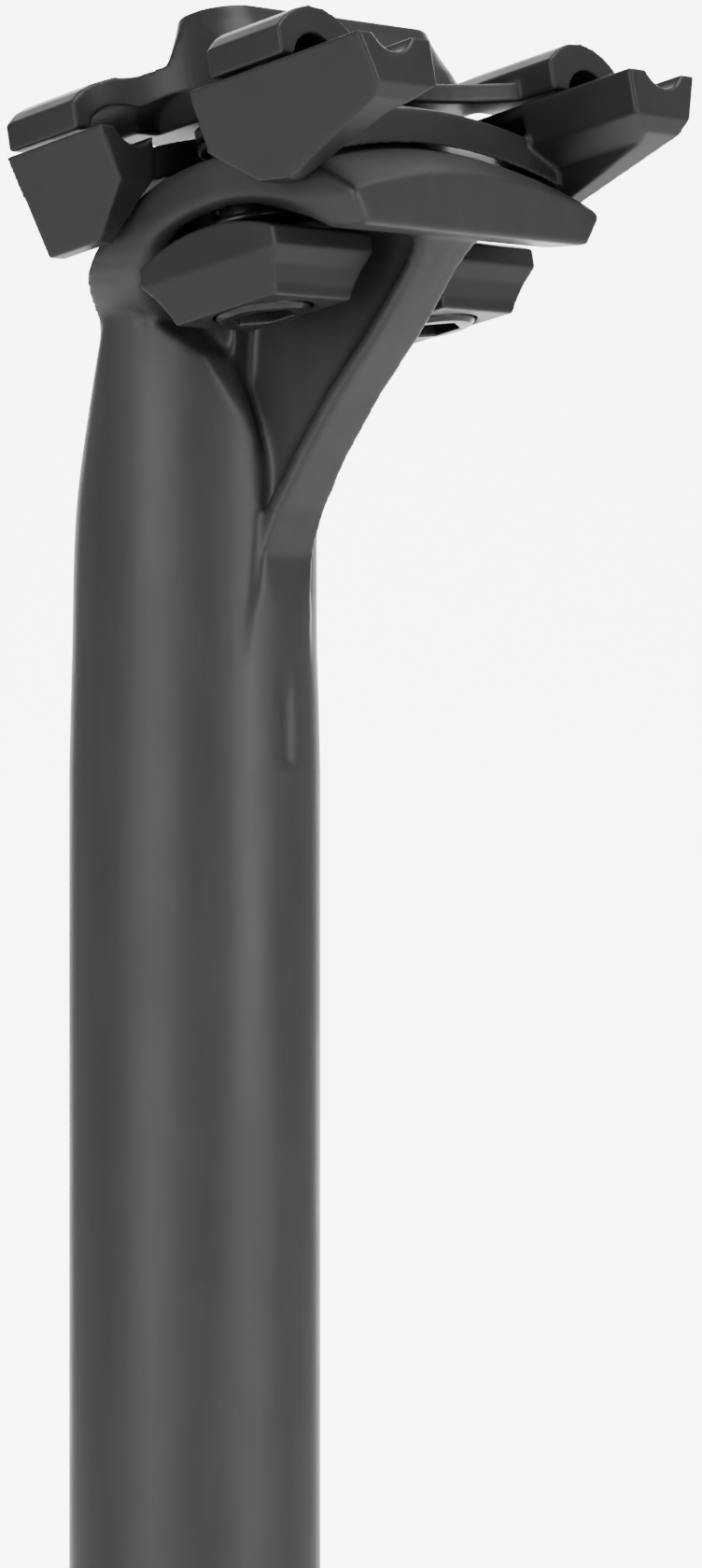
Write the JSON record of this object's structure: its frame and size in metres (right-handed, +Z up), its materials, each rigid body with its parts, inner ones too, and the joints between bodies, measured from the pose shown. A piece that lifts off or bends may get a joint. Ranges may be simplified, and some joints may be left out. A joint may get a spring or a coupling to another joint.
{
  "type": "bicycle seatpost",
  "caption": "Rigid round carbon seatpost with a moulded setback head, open arch and two-bolt tilting saddle clamp for round rails.",
  "frame": {"origin": "centre of the post's lower end", "axes": "+X to the bicycle's right, +Y forward, +Z up the post's axis"},
  "size_m": [0.0546, 0.0616, 0.36],
  "materials": {
    "carbon": "matte clear coat over carbon fibre",
    "anodised_alloy": "dark grey matte anodised",
    "black_steel": "blackened"
  },
  "bodies": {
    "post": {"post_body": "carbon"},
    "cradle": {"lower_cradle": "anodised_alloy", "left_spring": "black_steel", "right_spring": "black_steel"},
    "washers": {"left_clamp_washer": "anodised_alloy", "right_clamp_washer": "anodised_alloy", "left_head_shim": "black_steel", "right_head_shim": "black_steel"},
    "left_bolt": {"left_bolt": "black_steel"},
    "right_bolt": {"right_bolt": "black_steel"},
    "yoke": {"upper_yoke": "anodised_alloy"}
  },
  "joints": [
    {"name": "clamp_tilt", "type": "hinge", "parent": "post", "child": "cradle", "pos_m": [0, -0.0245, 0.3148], "axis": [1, 0, 0], "range_deg": [-10, 10]},
    {"name": "washer_lift", "type": "slide", "parent": "cradle", "child": "washers", "axis": [0, 0.1925, 0.9813], "range_m": [0, 0.001], "stiffness_N_per_m": 4000, "springref_m": -0.002, "deforming": ["left_spring", "right_spring"]},
    {"name": "left_bolt_turn", "type": "hinge", "parent": "washers", "child": "left_bolt", "pos_m": [-0.0133, -0.0245, 0.3148], "axis": [0, -0.1925, -0.9813], "range_deg": [0, 1080]},
    {"name": "right_bolt_turn", "type": "hinge", "parent": "washers", "child": "right_bolt", "pos_m": [0.0133, -0.0245, 0.3148], "axis": [0, -0.1925, -0.9813], "range_deg": [0, 1080]},
    {"name": "yoke_lift", "type": "slide", "parent": "washers", "child": "yoke", "axis": [0, 0.1925, 0.9813], "range_m": [0, 0.003]}
  ],
  "couplings": [
    {"joint": "left_bolt_turn", "follows": "yoke_lift", "rad_per_m": 6283.2},
    {"joint": "right_bolt_turn", "follows": "yoke_lift", "rad_per_m": 6283.2}
  ]
}
